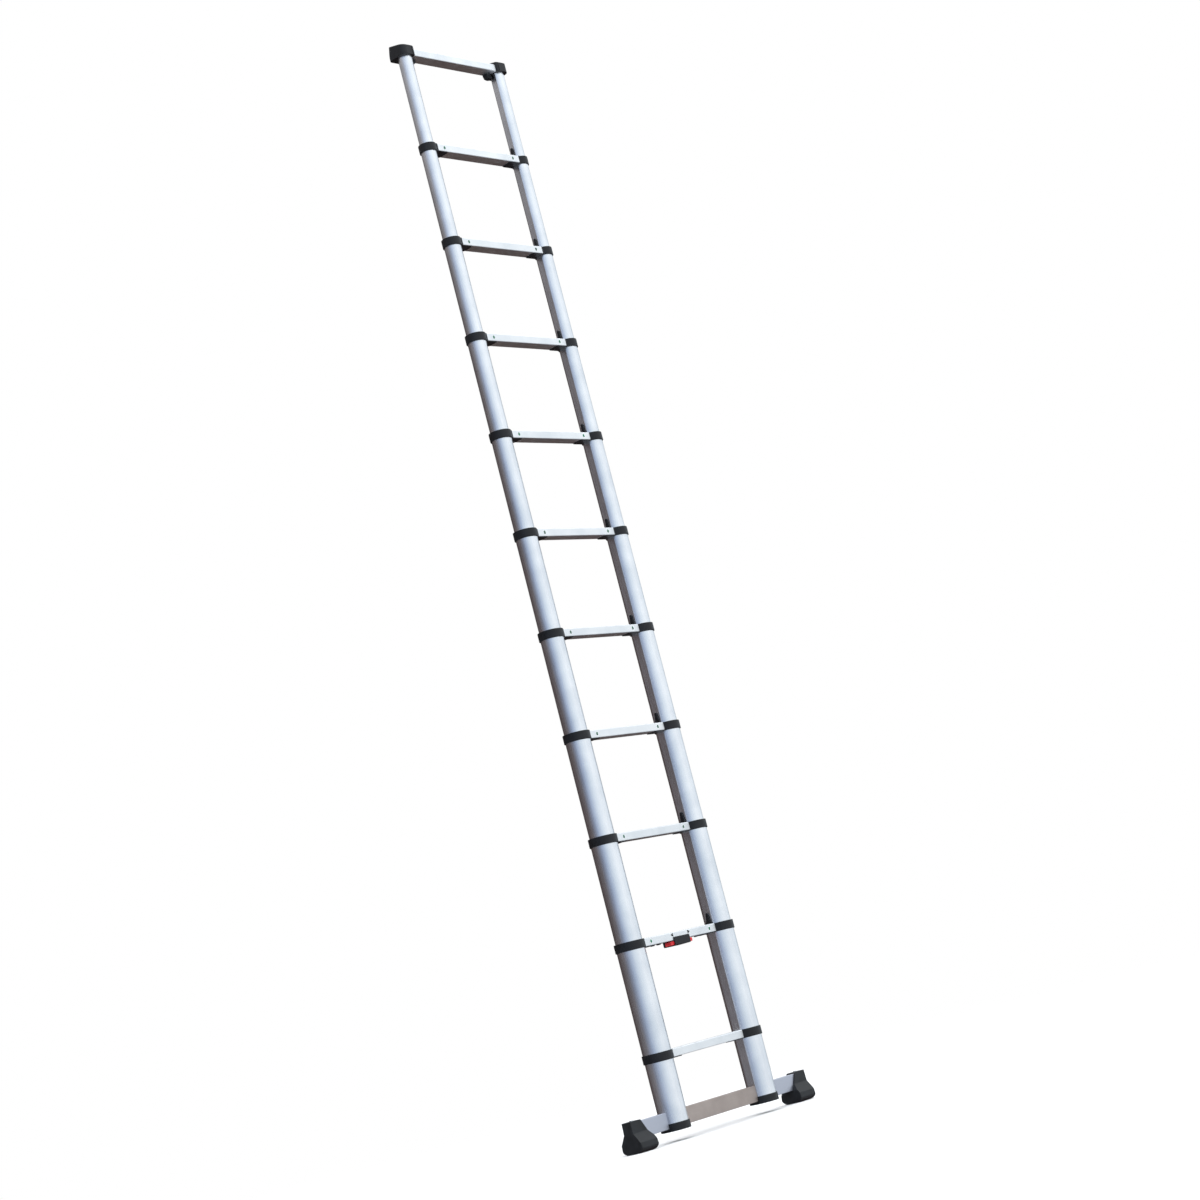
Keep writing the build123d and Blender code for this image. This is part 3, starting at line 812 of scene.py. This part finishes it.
# --- studio -----------------------------------------------------------------------------------
class LADDER_OT_build_studio(bpy.types.Operator):
    """Build the floor, the soft studio light and the camera"""

    bl_idname = "ladder.build_studio"
    bl_label = "Build studio"

    def execute(self, context):
        self.floor(context)
        self.sky(context)
        self.key_light(context)
        self.camera(context)
        context.scene.view_settings.view_transform = "Standard"
        return {"FINISHED"}

    def floor(self, context):
        """Pale paper floor that fades into the white room a few metres out."""
        bpy.ops.object.select_all(action="DESELECT")
        bpy.ops.mesh.primitive_plane_add(size=24, location=(0, 0, -0.0004))
        floor = new_active("studio_floor")
        material, tree, shader = new_material("matt_paper_floor", "#F4F4F4", 0.0, 0.9)
        shader.inputs["Base Color"].default_value = context.scene.ladder_colours.floor
        shader.inputs["Specular IOR Level"].default_value = 0.1
        place = add_node(tree, "ShaderNodeTexCoord")
        grain = add_node(
            tree, "ShaderNodeTexNoise",
            inputs={"Vector": place.outputs["Object"], "Scale": 1 / (3 * MM)},
        )
        relief = add_node(
            tree, "ShaderNodeBump", inputs={"Height": grain.outputs["Fac"], "Distance": 0.05 * MM}
        )
        tree.links.new(relief.outputs["Normal"], shader.inputs["Normal"])
        reach = add_node(tree, "ShaderNodeVectorMath", {"operation": "LENGTH"})
        tree.links.new(place.outputs["Object"], reach.inputs[0])
        fade = add_node(
            tree, "ShaderNodeMapRange", {"interpolation_type": "SMOOTHSTEP"},
            {"Value": reach.outputs["Value"], "From Min": 1.2, "From Max": 5.0},
        )
        clear = add_node(tree, "ShaderNodeBsdfTransparent")
        mix = add_node(tree, "ShaderNodeMixShader", inputs={"Fac": fade.outputs["Result"]})
        tree.links.new(shader.outputs["BSDF"], mix.inputs[1])
        tree.links.new(clear.outputs["BSDF"], mix.inputs[2])
        tree.links.new(mix.outputs["Shader"], tree.nodes["Material Output"].inputs["Surface"])
        floor.data.materials.append(material)
        floor.visible_glossy = False

    def sky(self, context):
        """Plain white room to the camera. Metal reflects it darker behind the ladder."""
        world = bpy.data.worlds.new("studio_room")
        context.scene.world = world
        world.use_nodes = True
        tree = world.node_tree
        tree.nodes.clear()
        place = add_node(tree, "ShaderNodeTexCoord")
        split = add_node(
            tree, "ShaderNodeSeparateXYZ", inputs={"Vector": place.outputs["Generated"]}
        )
        turn = add_node(tree, "ShaderNodeMath", {"operation": "ARCTAN2"})
        tree.links.new(split.outputs["Y"], turn.inputs[0])
        tree.links.new(split.outputs["X"], turn.inputs[1])
        share = add_node(
            tree, "ShaderNodeMapRange",
            inputs={"Value": turn.outputs[0], "From Min": -math.pi, "From Max": math.pi},
        )
        upper = add_node(tree, "ShaderNodeValToRGB", inputs={"Fac": share.outputs["Result"]})
        self.colour_ring(upper.color_ramp, [
            (-180, "#6A7388"), (-155, "#9BABC4"), (-116, "#D6E1EA"), (-70, "#F2F7FA"),
            (-41, "#E7EDF1"), (-15, "#E6EDF2"), (8, "#CBD5DC"), (26, "#747E84"),
            (42, "#181413"), (60, "#2C2422"), (82, "#453A38"), (150, "#544B4B"),
        ])
        lower = add_node(tree, "ShaderNodeValToRGB", inputs={"Fac": share.outputs["Result"]})
        self.colour_ring(lower.color_ramp, [
            (-180, "#B4B8C0"), (-100, "#C6CACF"), (-20, "#C2C6CB"), (8, "#4A3D39"),
            (80, "#4A3D39"), (112, "#A4A6AA"),
        ])
        below = add_node(
            tree, "ShaderNodeMapRange",
            inputs={"Value": split.outputs["Z"], "From Min": -0.05, "From Max": -0.2},
        )
        low = add_node(
            tree, "ShaderNodeMix", {"data_type": "RGBA"},
            {"Factor": below.outputs["Result"], "A": upper.outputs["Color"],
             "B": lower.outputs["Color"]},
        )
        above = add_node(
            tree, "ShaderNodeMapRange",
            inputs={"Value": split.outputs["Z"], "From Min": 0.35, "From Max": 0.8},
        )
        overhead = tuple(1.9 * channel for channel in linear("#F2F4F6"))
        room = add_node(
            tree, "ShaderNodeMix", {"data_type": "RGBA"},
            {"Factor": above.outputs["Result"], "A": low.outputs["Result"], "B": overhead},
        )
        lit = add_node(
            tree, "ShaderNodeBackground", inputs={"Color": room.outputs["Result"], "Strength": 1.12}
        )
        seen = add_node(
            tree, "ShaderNodeBackground", inputs={"Color": linear("#FFFFFF"), "Strength": 1.0}
        )
        path = add_node(tree, "ShaderNodeLightPath")
        mix = add_node(tree, "ShaderNodeMixShader", inputs={"Fac": path.outputs["Is Camera Ray"]})
        tree.links.new(lit.outputs["Background"], mix.inputs[1])
        tree.links.new(seen.outputs["Background"], mix.inputs[2])
        add_node(tree, "ShaderNodeOutputWorld", inputs={"Surface": mix.outputs["Shader"]})

    def colour_ring(self, ramp, stops):
        """Fill a ramp with colours by compass angle, in degrees from +X, closing the circle."""
        stops = stops + [(180, stops[0][1])]
        while len(ramp.elements) < len(stops):
            ramp.elements.new(0.5)
        for element, (degrees, _) in zip(ramp.elements, stops):
            element.position = (degrees + 180) / 360
        for element, (_, colour) in zip(ramp.elements, stops):
            element.color = linear(colour)

    def key_light(self, context):
        """Large softbox in front and to the right."""
        light = bpy.data.lights.new("softbox", "AREA")
        light.shape = "RECTANGLE"
        light.size, light.size_y = 3.0, 4.0
        light.energy = 60
        lamp = bpy.data.objects.new("softbox", light)
        lamp.visible_glossy = False
        context.scene.collection.objects.link(lamp)
        lamp.location = (2.6, -4.6, 3.4)
        towards = Vector((0, 0, 1.5)) - lamp.location
        lamp.rotation_euler = towards.to_track_quat("-Z", "Y").to_euler()

    def camera(self, context):
        """Long lens from the front left, low down and turned so that the ladder leans."""
        azimuth, elevation, roll = (math.radians(a) for a in (49.005, -10.154, -14.471))
        target = Vector((46.5 * MM, 0, 1495.4 * MM))
        distance = 6.6528
        forward = Vector((
            math.sin(azimuth) * math.cos(elevation),
            math.cos(azimuth) * math.cos(elevation),
            -math.sin(elevation),
        ))
        level = Vector((math.cos(azimuth), -math.sin(azimuth), 0))
        upright = level.cross(forward)
        right = math.cos(roll) * level + math.sin(roll) * upright
        up = math.cos(roll) * upright - math.sin(roll) * level
        data = bpy.data.cameras.new("camera")
        data.sensor_width = 36
        data.lens = 70.25
        camera = bpy.data.objects.new("camera", data)
        context.scene.collection.objects.link(camera)
        camera.location = target - distance * forward
        camera.rotation_euler = Matrix((right, up, -forward)).transposed().to_euler()
        context.scene.camera = camera


OPERATORS = (
    LADDER_OT_make_finishes,
    LADDER_OT_dress_aluminium,
    LADDER_OT_dress_steel,
    LADDER_OT_mould_collars,
    LADDER_OT_mould_top_caps,
    LADDER_OT_mould_feet,
    LADDER_OT_mould_boots,
    LADDER_OT_mould_release,
    LADDER_OT_fit_windows,
    LADDER_OT_fit_rivets,
    LADDER_OT_fit_rod_clips,
    LADDER_OT_print_marks,
    LADDER_OT_build_studio,
)


class LADDER_PT_tools(bpy.types.Panel):
    """Sidebar panel that lists the steps in order"""

    bl_label = "Telescopic ladder"
    bl_idname = "LADDER_PT_tools"
    bl_space_type = "VIEW_3D"
    bl_region_type = "UI"
    bl_category = "Ladder"

    def draw(self, context):
        layout = self.layout
        for operator in OPERATORS:
            layout.operator(operator.bl_idname)
        for name in LadderSizes.__annotations__:
            layout.prop(context.scene.ladder_sizes, name)
        for name in LadderColours.__annotations__:
            layout.prop(context.scene.ladder_colours, name)


CLASSES = (LadderSizes, LadderColours, *OPERATORS, LADDER_PT_tools)


def register():
    for cls in CLASSES:
        bpy.utils.register_class(cls)
    bpy.types.Scene.ladder_sizes = bpy.props.PointerProperty(type=LadderSizes)
    bpy.types.Scene.ladder_colours = bpy.props.PointerProperty(type=LadderColours)


def unregister():
    del bpy.types.Scene.ladder_colours
    del bpy.types.Scene.ladder_sizes
    for cls in reversed(CLASSES):
        bpy.utils.unregister_class(cls)


def main():
    register()
    bpy.ops.ladder.make_finishes()
    bpy.ops.ladder.dress_aluminium()
    bpy.ops.ladder.dress_steel()
    bpy.ops.ladder.mould_collars()
    bpy.ops.ladder.mould_top_caps()
    bpy.ops.ladder.mould_feet()
    bpy.ops.ladder.mould_boots()
    bpy.ops.ladder.mould_release()
    bpy.ops.ladder.fit_windows()
    bpy.ops.ladder.fit_rivets()
    bpy.ops.ladder.fit_rod_clips()
    bpy.ops.ladder.print_marks()
    bpy.ops.ladder.build_studio()


if __name__ == "__main__":
    main()
